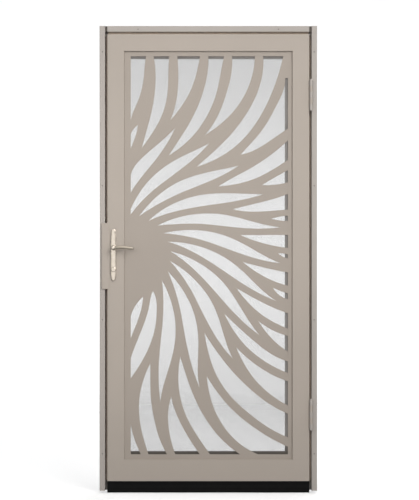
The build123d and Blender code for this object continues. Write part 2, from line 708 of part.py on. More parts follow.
# -------------------------------------------------------------------- levers
def lever(d, y_plate):
    """A lever with its hub on the spindle. d is -1 outside and +1 inside."""
    sections = [  # x from the axis, y from the plate, z, half depth, half height
        (-8.0, 33.0, 0.4, 4.5, 6.2),
        (-2.0, 34.0, 0.6, 7.0, 8.6),
        (14.0, 35.5, 1.6, 6.6, 8.0),
        (36.0, 36.0, 2.2, 5.6, 7.2),
        (58.0, 34.5, 0.6, 5.0, 6.8),
        (78.0, 32.0, -1.6, 4.6, 6.4),
        (89.0, 30.0, -2.6, 3.6, 5.2),
        (92.0, 29.4, -2.8, 1.6, 2.6),
    ]
    wires = []
    for x, y, z, ry, rz in sections:
        plane = Plane(
            origin=(LOCK_X + x, y_plate + d * y, LEVER_Z + z),
            x_dir=(0, 1, 0),
            z_dir=(1, 0, 0),
        )
        wires.append((plane * Ellipse(ry, rz)).face().outer_wire())
    arm = Solid.make_loft(wires)
    ya, yb = sorted((y_plate + d * 0.6, y_plate + d * 34.0))
    hub = rod_y(LOCK_X, LEVER_Z, 8.6, ya, yb)
    return arm + hub


hub_out = LEAF_FRONT - PLATE_T
hub_in = LEAF_BACK + PLATE_T
bore_len = 14.0
out_lever = lever(-1, hub_out) - block(
    LOCK_X - 4, LOCK_X + 4, hub_out - bore_len, hub_out, LEVER_Z - 4, LEVER_Z + 4
)
save(out_lever, "outside_lever")
in_lever = lever(1, hub_in) - block(
    LOCK_X - 4, LOCK_X + 4, hub_in, hub_in + bore_len, LEVER_Z - 4, LEVER_Z + 4
)
save(in_lever, "inside_lever")
save(
    block(
        LOCK_X - 4,
        LOCK_X + 4,
        hub_out - bore_len,
        hub_in + bore_len,
        LEVER_Z - 4,
        LEVER_Z + 4,
    ),
    "lever_spindle",
)
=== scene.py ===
"""Looks of the outswing steel security door: finishes, woven screen, lock
furniture, seals and welds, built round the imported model.

Metres, in the model's own frame: +Z up, the outside of the door faces -Y, the
wall's face is y = 0, the hinges are at +X.
"""

import json
import math

import bpy
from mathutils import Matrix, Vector


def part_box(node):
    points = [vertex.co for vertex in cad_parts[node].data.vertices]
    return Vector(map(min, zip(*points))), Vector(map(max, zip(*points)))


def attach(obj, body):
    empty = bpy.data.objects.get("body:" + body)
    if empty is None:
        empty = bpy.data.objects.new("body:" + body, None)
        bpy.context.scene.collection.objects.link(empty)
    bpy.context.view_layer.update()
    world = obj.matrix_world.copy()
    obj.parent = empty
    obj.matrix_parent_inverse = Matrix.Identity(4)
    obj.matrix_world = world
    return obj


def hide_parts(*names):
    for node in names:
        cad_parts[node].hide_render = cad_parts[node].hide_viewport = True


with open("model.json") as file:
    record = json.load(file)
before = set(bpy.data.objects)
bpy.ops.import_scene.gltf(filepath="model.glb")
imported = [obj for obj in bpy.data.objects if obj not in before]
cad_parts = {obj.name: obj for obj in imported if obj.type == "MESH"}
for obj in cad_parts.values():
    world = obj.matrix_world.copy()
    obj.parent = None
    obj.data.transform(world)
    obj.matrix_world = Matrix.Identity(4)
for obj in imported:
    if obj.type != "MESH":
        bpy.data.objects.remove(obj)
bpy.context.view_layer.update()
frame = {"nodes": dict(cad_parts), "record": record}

scene = bpy.context.scene
MM = 0.001


# ------------------------------------------------------------------ materials
class Mat:
    """A node material with helpers that keep the wiring short."""

    def __init__(self, name):
        self.m = bpy.data.materials.new(name)
        self.m.use_nodes = True
        self.t = self.m.node_tree
        self.b = self.t.nodes["Principled BSDF"]
        self.coord = self.t.nodes.new("ShaderNodeTexCoord")

    def set(self, **values):
        names = {
            "metallic": "Metallic",
            "roughness": "Roughness",
            "specular": "Specular IOR Level",
            "ior": "IOR",
            "coat": "Coat Weight",
            "coat_roughness": "Coat Roughness",
            "color": "Base Color",
            "sheen": "Sheen Weight",
            "sheen_roughness": "Sheen Roughness",
        }
        for k, v in values.items():
            self.b.inputs[names[k]].default_value = v
        return self

    def node(self, kind, inputs=None, **attrs):
        n = self.t.nodes.new(kind)
        for k, v in attrs.items():
            setattr(n, k, v)
        for k, v in (inputs or {}).items():
            if isinstance(v, bpy.types.NodeSocket):
                self.t.links.new(v, n.inputs[k])
            else:
                n.inputs[k].default_value = v
        return n

    def place(self, scale=(1, 1, 1), rotation=(0, 0, 0)):
        n = self.node(
            "ShaderNodeMapping",
            {"Vector": self.coord.outputs["Object"], "Scale": scale, "Rotation": rotation},
        )
        return n.outputs["Vector"]

    def noise(self, scale, detail=2.0, rough=0.5, vector=None, distortion=0.0):
        n = self.node(
            "ShaderNodeTexNoise",
            {
                "Vector": vector or self.coord.outputs["Object"],
                "Scale": scale,
                "Detail": detail,
                "Roughness": rough,
                "Distortion": distortion,
            },
        )
        return n.outputs["Fac"]

    def math(self, operation, a, b, clamp=False):
        n = self.node("ShaderNodeMath", {0: a, 1: b}, operation=operation)
        n.use_clamp = clamp
        return n.outputs[0]

    def spread(self, value, a, b, c, d):
        n = self.node(
            "ShaderNodeMapRange",
            {"Value": value, "From Min": a, "From Max": b, "To Min": c, "To Max": d},
        )
        return n.outputs["Result"]

    def ramp(self, value, *stops):
        n = self.node("ShaderNodeValToRGB", {"Fac": value})
        e = n.color_ramp.elements
        while len(e) < len(stops):
            e.new(0.5)
        for el, (at, rgb) in zip(e, stops):
            el.position = at
            el.color = (*rgb, 1.0)
        return n.outputs["Color"]

    def color(self, socket):
        self.t.links.new(socket, self.b.inputs["Base Color"])

    def rough(self, socket):
        self.t.links.new(socket, self.b.inputs["Roughness"])

    def bump(self, height, distance, strength=1.0, edge=None):
        inputs = {"Height": height, "Distance": distance, "Strength": strength}
        n = self.node("ShaderNodeBump", inputs)
        if edge:
            e = self.node("ShaderNodeBevel", {"Radius": edge})
            e.samples = 4
            self.t.links.new(e.outputs["Normal"], n.inputs["Normal"])
        self.t.links.new(n.outputs["Normal"], self.b.inputs["Normal"])


def tint(rgb, k):
    return tuple(min(1.0, c * k) for c in rgb)


def powder_coat(name, rgb, roughness=0.46):
    """Satin powder coat: a faint orange peel, tiny cured specks, soft clouding."""
    m = Mat(name).set(specular=0.42)
    cloud = m.noise(2.6, 3.0, 0.55)
    speck = m.noise(950.0, 1.0, 0.5)
    mixed = m.math("ADD", m.math("MULTIPLY", cloud, 0.72), m.math("MULTIPLY", speck, 0.28))
    m.color(m.ramp(mixed, (0.30, tint(rgb, 0.955)), (0.52, rgb), (0.74, tint(rgb, 1.035))))
    m.rough(m.spread(m.noise(38.0, 4.0, 0.6), 0.3, 0.7, roughness - 0.05, roughness + 0.07))
    peel = m.math(
        "ADD",
        m.math("MULTIPLY", m.noise(330.0, 2.0, 0.55), 0.8),
        m.math("MULTIPLY", m.noise(1400.0, 1.0, 0.5), 0.2),
    )
    m.bump(peel, 0.00012, 0.55, edge=0.0009)
    return m.m


def polished_brass(name, rgb, dull=0.0):
    """Lacquered pale brass: fine polishing lines, slightly duller patches."""
    m = Mat(name).set(metallic=1.0, coat=0.25, coat_roughness=0.08)
    lines = m.noise(1.0, 3.0, 0.6, m.place((2600.0, 2600.0, 160.0)))
    patch = m.noise(75.0, 4.0, 0.6)
    m.color(m.ramp(patch, (0.30, tint(rgb, 0.90)), (0.55, rgb), (0.80, tint(rgb, 1.05))))
    r = m.math(
        "ADD",
        m.spread(patch, 0.3, 0.75, 0.15 + dull, 0.25 + dull),
        m.math("MULTIPLY", lines, 0.08),
    )
    m.rough(r)
    m.bump(lines, 0.00002, 0.35, edge=0.0004)
    return m.m


def zinc_steel(name, rgb=(0.56, 0.57, 0.59)):
    """Bright zinc plate with drawn lines and a faint spangle."""
    m = Mat(name).set(metallic=1.0)
    cells = m.node("ShaderNodeTexVoronoi", {"Vector": m.coord.outputs["Object"], "Scale": 260.0})
    lines = m.noise(1.0, 2.0, 0.5, m.place((900.0, 900.0, 60.0)))
    mixed = m.math(
        "ADD",
        m.math("MULTIPLY", cells.outputs["Distance"], 0.4),
        m.math("MULTIPLY", lines, 0.6),
    )
    m.color(m.ramp(mixed, (0.15, tint(rgb, 0.86)), (0.75, tint(rgb, 1.08))))
    m.rough(m.spread(lines, 0.3, 0.7, 0.26, 0.42))
    m.bump(lines, 0.00003, 0.4, edge=0.0004)
    return m.m


def dark_rubber(name, low, high, roughness, specular, grain=240.0, foot=None):
    """Extruded rubber or vinyl: a fine grain, dusty bloom, a shade darker at its foot."""
    m = Mat(name).set(specular=specular)
    bloom = m.noise(26.0, 5.0, 0.65)
    fine = m.noise(grain * 4, 2.0, 0.5)
    mixed = m.math("ADD", m.math("MULTIPLY", bloom, 0.7), m.math("MULTIPLY", fine, 0.3))
    shade = m.ramp(mixed, (0.35, low), (0.68, high))
    if foot:
        z0, z1, k = foot
        up = m.node("ShaderNodeSeparateXYZ", {0: m.coord.outputs["Object"]})
        share = m.spread(up.outputs[2], z0, z1, 0.0, 1.0)
        dim = m.ramp(share, (0.0, k), (1.0, (1.0, 1.0, 1.0)))
        both = m.node("ShaderNodeMix", data_type="RGBA", blend_type="MULTIPLY")
        both.inputs[0].default_value = 1.0
        m.t.links.new(shade, both.inputs[6])
        m.t.links.new(dim, both.inputs[7])
        shade = both.outputs[2]
    m.color(shade)
    m.rough(m.spread(bloom, 0.3, 0.7, roughness - 0.08, roughness + 0.08))
    m.bump(fine, 0.00006, 0.5, edge=0.0005)
    return m.m


def screen_cord(name):
    """Vinyl-coated yarn of the woven screen, a little uneven from yarn to yarn."""
    m = Mat(name).set(specular=0.3)
    band = m.noise(1.0, 2.0, 0.5, m.place((9.0, 1.0, 9.0)))
    fine = m.noise(1500.0, 1.0, 0.5)
    mixed = m.math("ADD", m.math("MULTIPLY", band, 0.6), m.math("MULTIPLY", fine, 0.4))
    m.color(m.ramp(mixed, (0.30, (0.105, 0.105, 0.106)), (0.70, (0.145, 0.145, 0.146))))
    m.rough(m.spread(fine, 0.3, 0.7, 0.48, 0.64))
    return m.m


LEAF = powder_coat("leaf_powder_coat", (0.435, 0.382, 0.333))
# the sheet wears the leaf's coat darkened by about a tenth: painted shade for the recessed, cut sheet
SHEET_COAT_PAINTED_SHADE = powder_coat("sheet_coat_painted_shade", (0.386, 0.337, 0.293))
FRAME = powder_coat("frame_powder_coat", (0.435, 0.400, 0.368))
# the screws wear the frame's coat darkened by about half: painted shade of the fixing holes they sit in
SCREW_COAT_PAINTED_SHADE = powder_coat("screw_coat_painted_shade", (0.235, 0.21, 0.19), 0.5)
BRASS = polished_brass("pale_brass", (0.71, 0.635, 0.545))
# the lever's arm wears the plate's brass darkened by about a third: painted shade for the dim reflections along it;
# its duller, rougher finish is real
LEVER_BRASS_PAINTED_SHADE = polished_brass("satin_brass_painted_shade", (0.50, 0.445, 0.37), 0.34)
STEEL = zinc_steel("zinc_plate")
RUBBER = dark_rubber("black_rubber", (0.010, 0.010, 0.0098), (0.020, 0.0195, 0.019), 0.66, 0.22)
# the weatherstrips' tan vinyl is made far paler than a real strip: painted light for the bounce that lights the
# deep gaps round the leaf; the header's copy, paler still, is painted light in the header gap, which lies in the
# header's shade
TAN_VINYL_PAINTED_LIGHT = dark_rubber("tan_vinyl", (0.74, 0.645, 0.565), (0.82, 0.72, 0.63), 0.6, 0.3)
HEADER_VINYL_PAINTED_LIGHT = dark_rubber("header_vinyl_painted_light", (0.80, 0.70, 0.60), (0.86, 0.755, 0.65), 0.6, 0.3)
# grey-brown plug rubber: painted shade for the dark inside the slots at the header's ends
SLOT_SHADE_PLUG = dark_rubber("slot_shade_rubber", (0.125, 0.109, 0.095), (0.17, 0.148, 0.129), 0.66, 0.22)
SWEEP = dark_rubber("black_vinyl", (0.0045, 0.0045, 0.0043), (0.008, 0.008, 0.0076), 0.6, 0.10)
PLASTIC = dark_rubber("black_plastic", (0.003, 0.003, 0.003), (0.006, 0.006, 0.006), 0.55, 0.1)
YARN = screen_cord("screen_yarn")
VINYL = dark_rubber(
    "grey_vinyl", (0.235, 0.222, 0.212), (0.29, 0.277, 0.265), 0.62, 0.25, foot=(0.172, 0.21, (0.42, 0.39, 0.36))
)

BY_SLOT = {
    "frame_paint": FRAME,
    "leaf_paint": LEAF,
    "brass": BRASS,
    "bright_steel": STEEL,
    "black_rubber": RUBBER,
    "black_plastic": PLASTIC,
    "screen_mesh": YARN,
    "grey_vinyl": VINYL,
    "tan_vinyl": TAN_VINYL_PAINTED_LIGHT,
}


def wear(obj, material):
    obj.data.materials.clear()
    obj.data.materials.append(material)


slot_of = {s["node"]: s["material_slot"] for s in frame["record"].get("subparts", [])}
for name, obj in frame["nodes"].items():
    material = BY_SLOT[slot_of[name]]
    if name == "bottom_sweep":
        material = SWEEP
    if name == "sunburst_sheet":
        material = SHEET_COAT_PAINTED_SHADE
    if name == "header_weatherstrip":
        material = HEADER_VINYL_PAINTED_LIGHT
    wear(obj, material)


# -------------------------------------------------------------- mesh helpers
def piece(name, verts, faces, material, body, sharp=None, stands_for=()):
    me = bpy.data.meshes.new(name)
    me.from_pydata([tuple(v) for v in verts], [], faces)
    me.validate()
    me.update()
    if sharp is not None:
        me.shade_smooth()
        me.set_sharp_from_angle(angle=math.radians(sharp))
    obj = bpy.data.objects.new(name, me)
    scene.collection.objects.link(obj)
    me.materials.append(material)
    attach(obj, body)
    if stands_for:
        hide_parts(*stands_for)
    return obj


class Build:
    """Collects several closed shapes into one mesh."""

    def __init__(self):
        self.v, self.f = [], []

    def add(self, verts, faces):
        n = len(self.v)
        self.v += [tuple(p) for p in verts]
        self.f += [tuple(i + n for i in face) for face in faces]

    def rings(self, rings, close_ends=True):
        """A skin over rings of equally many points, capped at both ends."""
        k = len(rings[0])
        verts = [p for r in rings for p in r]
        faces = []
        for i in range(len(rings) - 1):
            for j in range(k):
                a, b = i * k + j, i * k + (j + 1) % k
                faces.append((a, b, b + k, a + k))
        if close_ends:
            faces.append(tuple(range(k - 1, -1, -1)))
            last = (len(rings) - 1) * k
            faces.append(tuple(last + j for j in range(k)))
        self.add(verts, faces)

    def lathe(self, centre, axis, profile, steps=40):
        """Turns (radius, height) pairs round an axis through centre."""
        axis = Vector(axis).normalized()
        u = axis.orthogonal().normalized()
        w = axis.cross(u)
        rings = []
        for r, h in profile:
            ring = []
            for j in range(steps):
                t = 2 * math.pi * j / steps
                ring.append(Vector(centre) + axis * h + (u * math.cos(t) + w * math.sin(t)) * r)
            rings.append(ring)
        self.rings(rings)


def make(build, name, material, body, sharp=30, stands_for=()):
    me_obj = piece(name, build.v, build.f, material, body, sharp, stands_for)
    # every closed shape faces outwards
    import bmesh

    bm = bmesh.new()
    bm.from_mesh(me_obj.data)
    bmesh.ops.recalc_face_normals(bm, faces=bm.faces)
    bm.to_mesh(me_obj.data)
    bm.free()
    if sharp is not None:
        me_obj.data.shade_smooth()
        me_obj.data.set_sharp_from_angle(angle=math.radians(sharp))
    return me_obj


def smooth_curve(points, steps):
    """Points on a Catmull-Rom curve through the given points, any dimension."""
    out = []
    pts = [points[0]] + list(points) + [points[-1]]
    for i in range(1, len(pts) - 2):
        p0, p1, p2, p3 = pts[i - 1], pts[i], pts[i + 1], pts[i + 2]
        for s in range(steps):
            t = s / steps
            out.append(
                tuple(
                    0.5
                    * (
                        2 * b
                        + (c - a) * t
                        + (2 * a - 5 * b + 4 * c - d) * t * t
                        + (3 * b - a - 3 * c + d) * t**3
                    )
                    for a, b, c, d in zip(p0, p1, p2, p3)
                )
            )
    out.append(tuple(points[-1]))
    return out


# -------------------------------------------------------- the woven screen
# Plain-woven vinyl-coated yarn, 18 x 16 to the inch: upright yarns in front,
# level yarns just behind them, each a thin four-sided bar end to end.
s_lo, s_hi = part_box("insect_screen")
PITCH_X, PITCH_Z = 25.4 / 18 * MM, 25.4 / 16 * MM
YARN_R = 0.20 * MM


def woven_screen():
    b = Build()
    x0, x1 = s_lo.x + 0.4 * MM, s_hi.x - 0.4 * MM
    z0, z1 = s_lo.z + 0.4 * MM, s_hi.z - 0.4 * MM
    y = s_lo.y + 0.3 * MM
    r = YARN_R
    n = int((x1 - x0) / PITCH_X)
    for i in range(n + 1):
        x = x0 + i * PITCH_X
        ring = [(x - r, y), (x, y - r), (x + r, y), (x, y + r)]
        b.rings([[(px, py, z) for px, py in ring] for z in (z0, z1)])
    y += 1.6 * r
    n = int((z1 - z0) / PITCH_Z)
    for i in range(n + 1):
        z = z0 + i * PITCH_Z
        ring = [(y, z - r), (y - r, z), (y, z + r), (y + r, z)]
        b.rings([[(x, py, pz) for py, pz in ring] for x in (x0, x1)])
    return piece(
        "woven_screen", b.v, b.f, YARN, "leaf", None, ("insect_screen",)
    )


woven_screen()

# ------------------------------------------------------------ lock furniture
LOCK_X, LEVER_Z, CYL_Z = -425 * MM, 1090 * MM, 992.5 * MM
PLATE = [  # height above the floor line and half width of the lock plate
    (941.0, 3.6),
    (944.0, 6.6),
    (951.0, 9.4),
    (971.0, 12.4),
    (996.5, 13.0),
    (1041.0, 12.0),
    (1090.0, 12.7),
    (1118.0, 12.0),
    (1146.0, 11.2),
    (1163.0, 10.0),
    (1170.5, 7.6),
    (1174.0, 4.2),
]


def lock_plate(name, node, d, y_face):
    """A thick plate with a chamfered rim and a low crown. d is -1 outside and +1 inside."""
    b = Build()
    rows = smooth_curve(PLATE, 7)
    zc = (PLATE[0][0] + PLATE[-1][0]) / 2
    zh = (PLATE[-1][0] - PLATE[0][0]) / 2
    rings = []
    side = [(1.0, 0.0), (1.0, 5.2), (0.992, 5.6), (0.975, 5.85), (0.94, 6.02)]
    across = [-u for u, _ in side] + [-0.72, -0.5, -0.25, 0.0, 0.25, 0.5, 0.72] + [u for u, _ in side[::-1]]
    for z, w in rows:
        end = 1 - abs((z - zc) / zh) ** 30
        ring = []
        for u in across:
            crown = 6.02 + 0.98 * (1 - (u / 0.94) ** 2) * (0.2 + 0.8 * end)
            h = crown
            for k, (su, sh) in enumerate(side):
                if abs(abs(u) - su) < 1e-9:
                    h = sh
            ring.append([u, h])
        ring[0][1] = ring[-1][1] = 0.0
        rings.append([(LOCK_X + u * w * MM, (y_face + d * h) * MM, z * MM) for u, h in ring])
    b.rings(rings)
    # turned collar round the lever's hub, and a ring round the cylinder
    y0 = (y_face + d * 6.2) * MM
    axis = (0, d, 0)
    b.lathe(
        (LOCK_X, y0, LEVER_Z),
        axis,
        [(r * MM, h * MM) for r, h in (
            (9.2, 0.0), (11.6, 0.0), (11.7, 1.0), (11.4, 1.8), (10.9, 2.1), (11.1, 2.8),
            (10.9, 3.9), (10.2, 5.2), (9.3, 5.8), (8.9, 5.8), (8.9, 0.0),
        )],
        56,
    )
    b.lathe(
        (LOCK_X, y0, CYL_Z),
        axis,
        [(r * MM, h * MM) for r, h in (
            (10.1, 0.0), (11.9, 0.0), (12.0, 0.6), (11.7, 1.3), (11.1, 1.8), (10.3, 2.0), (10.1, 1.6),
        )],
        56,
    )
    return make(b, name, BRASS, "leaf", 34, (node,))


def lever(name, node, d, y_face):
    """The handle: a straight hub with a domed front and a flattened, waved arm from its side."""
    path = [  # x from the axis, distance out, z, half depth, half height
        (-3.0, 34.0, 0.0, 4.6, 6.6),
        (3.0, 34.3, 0.2, 5.6, 7.6),
        (10.5, 34.9, 0.9, 6.3, 8.1),
        (20.0, 35.6, 1.7, 6.2, 8.1),
        (34.0, 35.6, 2.3, 5.4, 7.6),
        (50.0, 34.9, 1.4, 4.9, 7.1),
        (66.0, 33.6, -0.4, 4.5, 6.7),
        (80.0, 31.8, -1.9, 4.2, 6.3),
        (87.5, 30.6, -2.6, 3.7, 5.6),
        (91.0, 29.9, -2.9, 2.5, 3.9),
        (92.3, 29.6, -3.0, 0.8, 1.3),
    ]
    pts = smooth_curve(path, 6)
    centres = [
        Vector((LOCK_X + p[0] * MM, (y_face + d * p[1]) * MM, LEVER_Z + p[2] * MM)) for p in pts
    ]
    b = Build()
    rings = []
    k = 36
    for i, p in enumerate(pts):
        a = centres[max(0, i - 1)]
        c = centres[min(len(pts) - 1, i + 1)]
        run = (c - a).normalized()
        up = Vector((0, 0, 1))
        side = run.cross(up).normalized()
        up = side.cross(run).normalized()
        ring = []
        for j in range(k):
            t = 2 * math.pi * j / k
            cs, sn = math.cos(t), math.sin(t)
            # a slightly squared oval
            q = 1.0 / (abs(cs) ** 2.3 + abs(sn) ** 2.3) ** (1 / 2.3)
            ring.append(centres[i] + side * (cs * q * p[3] * MM) + up * (sn * q * p[4] * MM))
        rings.append(ring)
    b.rings(rings)
    h = Build()
    h.lathe(
        (LOCK_X, y_face * MM, LEVER_Z),
        (0, d, 0),
        [(r * MM, v * MM) for r, v in (
            (8.2, 0.6), (8.4, 0.9), (8.3, 8.0), (7.9, 15.0), (7.9, 24.0), (8.4, 29.5), (8.8, 32.0),
            (8.8, 38.6), (8.55, 39.5), (7.9, 40.1), (6.2, 40.5), (3.5, 40.75), (0.6, 40.85),
        )],
        48,
    )
    make(h, name + "_hub", BRASS, "lever", 34)
    # the arm wears the darkened brass, painted shade; the hub wears the pale brass
    return make(b, name, LEVER_BRASS_PAINTED_SHADE, "lever", 50, (node,))


lock_plate("outside_escutcheon", "outside_lock_plate", -1, -43.0)
lock_plate("inside_escutcheon", "inside_lock_plate", 1, -11.0)
lever("outside_handle", "outside_lever", -1, -50.0)
lever("inside_handle", "inside_lever", 1, -4.0)


def oval_screw(b, centre, axis, r, h, turn=0.0):
    """A countersunk screw's domed head with a cross recess pressed into it."""
    axis = Vector(axis).normalized()
    u = axis.orthogonal().normalized()
    w = axis.cross(u)
    c = Vector(centre)
    k, rings = 32, []
    for rad, hh in ((1.0, -0.35), (1.0, 0.0), (0.94, 0.35), (0.8, 0.66), (0.6, 0.88), (0.48, 0.96)):
        rings.append((rad, hh))
    grid = []
    for rad, hh in rings:
        grid.append(
            [
                c
                + axis * (hh * h)
                + (u * math.cos(2 * math.pi * j / k) + w * math.sin(2 * math.pi * j / k)) * (rad * r)
                for j in range(k)
            ]
        )
    # recess: a four-armed floor sunk below the crown
    rim, floor = [], []
    for j in range(k):
        t = 2 * math.pi * j / k + turn
        arm = abs(math.cos(2 * t)) ** 6
        rad = 0.13 + 0.33 * arm
        tt = 2 * math.pi * j / k
        d = u * math.cos(tt) + w * math.sin(tt)
        rim.append(c + axis * (0.97 * h) + d * (rad * r))
        floor.append(c + axis * (0.25 * h) + d * (rad * r * 0.75))
    b.rings(grid + [rim, floor])


# --------------------------------------------------------------- steel welds
def weld(b, start, end, normal_a, normal_b, size):
    """A rippled fillet bead in the corner between two faces."""
    start, end = Vector(start), Vector(end)
    na, nb = Vector(normal_a).normalized(), Vector(normal_b).normalized()
    length = (end - start).length
    n = max(6, int(length / (0.9 * MM)))
    rings = []
    for i in range(n + 1):
        t = i / n
        p = start.lerp(end, t)
        s = t * length / (2.6 * MM)
        ripple = 1 + 0.10 * math.sin(2 * math.pi * s) + 0.07 * math.sin(0.83 * s + 1.7)
        taper = min(1.0, 0.25 + 6 * min(t, 1 - t) * max(1.0, length / 0.03) * 0.5)
        r = size * ripple * taper
        ring = [p - na * 0.1 * MM - nb * 0.1 * MM]
        for a in (0, 22.5, 45, 67.5, 90):
            q = math.radians(a)
            k = 1.0 if a in (0, 90) else 0.86
            ring.append(p + na * (r * k * math.cos(q)) + nb * (r * k * math.sin(q)))
        rings.append(ring)
    b.rings(rings)


# stitch welds that join the jamb and header tubes to the flange, in the corner
# beside the door stop
jamb_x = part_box("hinge_jamb")[0].x
header_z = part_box("header")[0].z
leaf_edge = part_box("hinge_stile")[1].x
b = Build()
for side in (-1, 1):
    x = side * jamb_x
    for z in range(120, 2060, 240):
        weld(b, (x, -2 * MM, z * MM), (x, -2 * MM, (z + 28) * MM), (-side, 0, 0), (0, -1, 0), 2.2 * MM)
for x in range(-400, 401, 160):
    weld(
        b, ((x - 14) * MM, -2 * MM, header_z), ((x + 14) * MM, -2 * MM, header_z),
        (0, 0, -1), (0, -1, 0), 2.2 * MM,
    )
make(b, "frame_welds", FRAME, "frame", 60)

# tack welds that hold the screen's bars in the leaf, seen from the room side
b = Build()
y = -14 * MM
opening_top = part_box("top_rail")[0].z
opening_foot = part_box("bottom_rail")[1].z
for z in range(200, 1960, 220):
    for side in (-1, 1):
        x = side * 378 * MM
        weld(b, (x, y, (z - 9) * MM), (x, y, (z + 9) * MM), (-side, 0, 0), (0, 1, 0), 2.0 * MM)
for x in range(-300, 301, 150):
    weld(b, ((x - 9) * MM, y, opening_foot), ((x + 9) * MM, y, opening_foot), (0, 0, 1), (0, 1, 0), 2.0 * MM)
    weld(b, ((x - 9) * MM, y, opening_top), ((x + 9) * MM, y, opening_top), (0, 0, -1), (0, 1, 0), 2.0 * MM)
make(b, "leaf_welds", LEAF, "leaf", 60)

# a smooth sealed seam between the sheet and the latch stile
sheet_lo, sheet_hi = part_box("sunburst_sheet")
b = Build()
rings = []
for k in range(81):
    z = sheet_lo.z + (sheet_hi.z - sheet_lo.z) * k / 80
    r = (3.3 + 0.12 * math.sin(0.9 * k) + 0.08 * math.sin(2.3 * k + 1.0)) * MM
    x, y = sheet_lo.x - 0.1 * MM, sheet_lo.y + 0.1 * MM
    rings.append([(x, y, z), (x + r, y, z), (x + 0.62 * r, y - 0.26 * r, z), (x + 0.26 * r, y - 0.62 * r, z), (x, y - r, z)])
b.rings(rings)
make(b, "sheet_seam", LEAF, "leaf", 60)

# soft plugs that close the slots between the header's ends and the jambs; their grey-brown is painted shade, the
# dark that lies in those deep slots
b = Build()
head_lo, head_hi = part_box("header")
for side in (-1, 1):
    x0, x1 = side * (head_hi.x + 0.3 * MM), side * (jamb_x - 0.3 * MM)
    rings = []
    for k in range(13):
        z = 2061.0 + 23.6 * k / 12
        dip = 0.5 * (k % 2)
        ring = [(x0, -2.2), (x1, -2.2), (x1, -29.0 + dip)]
        for t in (0.25, 0.5, 0.75):
            ring.append((x1 + (x0 - x1) * t, -29.0 - 1.4 * math.sin(math.pi * t) + dip))
        ring.append((x0, -29.0 + dip))
        rings.append([(x, y * MM, z * MM) for x, y in ring])
    b.rings(rings)
make(b, "corner_shade_plugs", SLOT_SHADE_PLUG, "frame", 40)

# ------------------------------------------------- screws of the lock fittings
b = Build()
for z in (954.0, 1121.0):
    oval_screw(b, (-jamb_x, -24 * MM, z * MM), (1, 0, 0), 3.6 * MM, 0.9 * MM, 0.4)
make(b, "strike_screws", STEEL, "frame", 40)
b = Build()
for z in (952.5, 1122.5):
    oval_screw(b, (-leaf_edge, -27 * MM, z * MM), (-1, 0, 0), 3.4 * MM, 0.8 * MM, 0.9)
make(b, "face_plate_screws", BRASS, "leaf", 40)

# painted screws, their heads just below the face, in the frame's ten fixing holes; their coat, the frame's colour
# darkened by about half, is painted shade of the holes
b = Build()
face_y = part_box("hinge_jamb")[0].y + 1.0 * MM
for z in (166.0, 767.0, 1368.0, 1969.0):
    for side in (-1, 1):
        oval_screw(b, (side * 475 * MM, face_y, z * MM), (0, -1, 0), 2.9 * MM, 0.8 * MM, 0.2 + 0.001 * z)
for side in (-1, 1):
    oval_screw(b, (side * 315 * MM, face_y, 2070 * MM), (0, -1, 0), 2.9 * MM, 0.8 * MM, 0.7)
make(b, "frame_screws", SCREW_COAT_PAINTED_SHADE, "frame", 40)

# ------------------------------------------------------------- bottom sweep
sw_lo, sw_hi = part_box("bottom_sweep")


def sweep_fins():
    """Three soft lips under a common base, each a little wavy along its edge."""
    b = Build()
    n = 120
    base = []
    for i in range(n + 1):
        x = sw_lo.x + (sw_hi.x - sw_lo.x) * i / n
        base.append(
            [(x, y * MM, z * MM) for y, z in (
                (-42.5, 20.0), (-42.5, 27.2), (-41.8, 28.0), (-12.2, 28.0), (-11.5, 27.2), (-11.5, 20.0),
            )]
        )
    b.rings(base)
    for c, seed in ((-40.5, 0.0), (-27.5, 2.1), (-13.5, 4.4)):
        rings = []
        for i in range(n + 1):
            t = i / n
            x = sw_lo.x + (sw_hi.x - sw_lo.x) * t
            sway = 0.35 * math.sin(9.0 * t + seed) + 0.2 * math.sin(23.0 * t + 2 * seed)
            lift = 0.25 * (1 + math.sin(14.0 * t + seed))
            prof = []
            for y, z, k in (
                (-2.0, 20.4, 0.0), (-1.9, 8.0, 0.4), (-1.5, -3.0, 0.8), (-1.3, -7.0, 1.0),
                (-0.8, -7.9, 1.0), (0.0, -8.0, 1.0), (0.8, -7.9, 1.0), (1.3, -7.0, 1.0),
                (1.5, -3.0, 0.8), (1.9, 8.0, 0.4), (2.0, 20.4, 0.0),
            ):
                shift = max(-0.5, min(0.5, sway * k))
                prof.append((x, (c + y + shift) * MM, (z + lift * k) * MM))
            rings.append(prof)
        b.rings(rings)
    return make(b, "sweep_lips", SWEEP, "leaf", 40, ("bottom_sweep",))


sweep_fins()

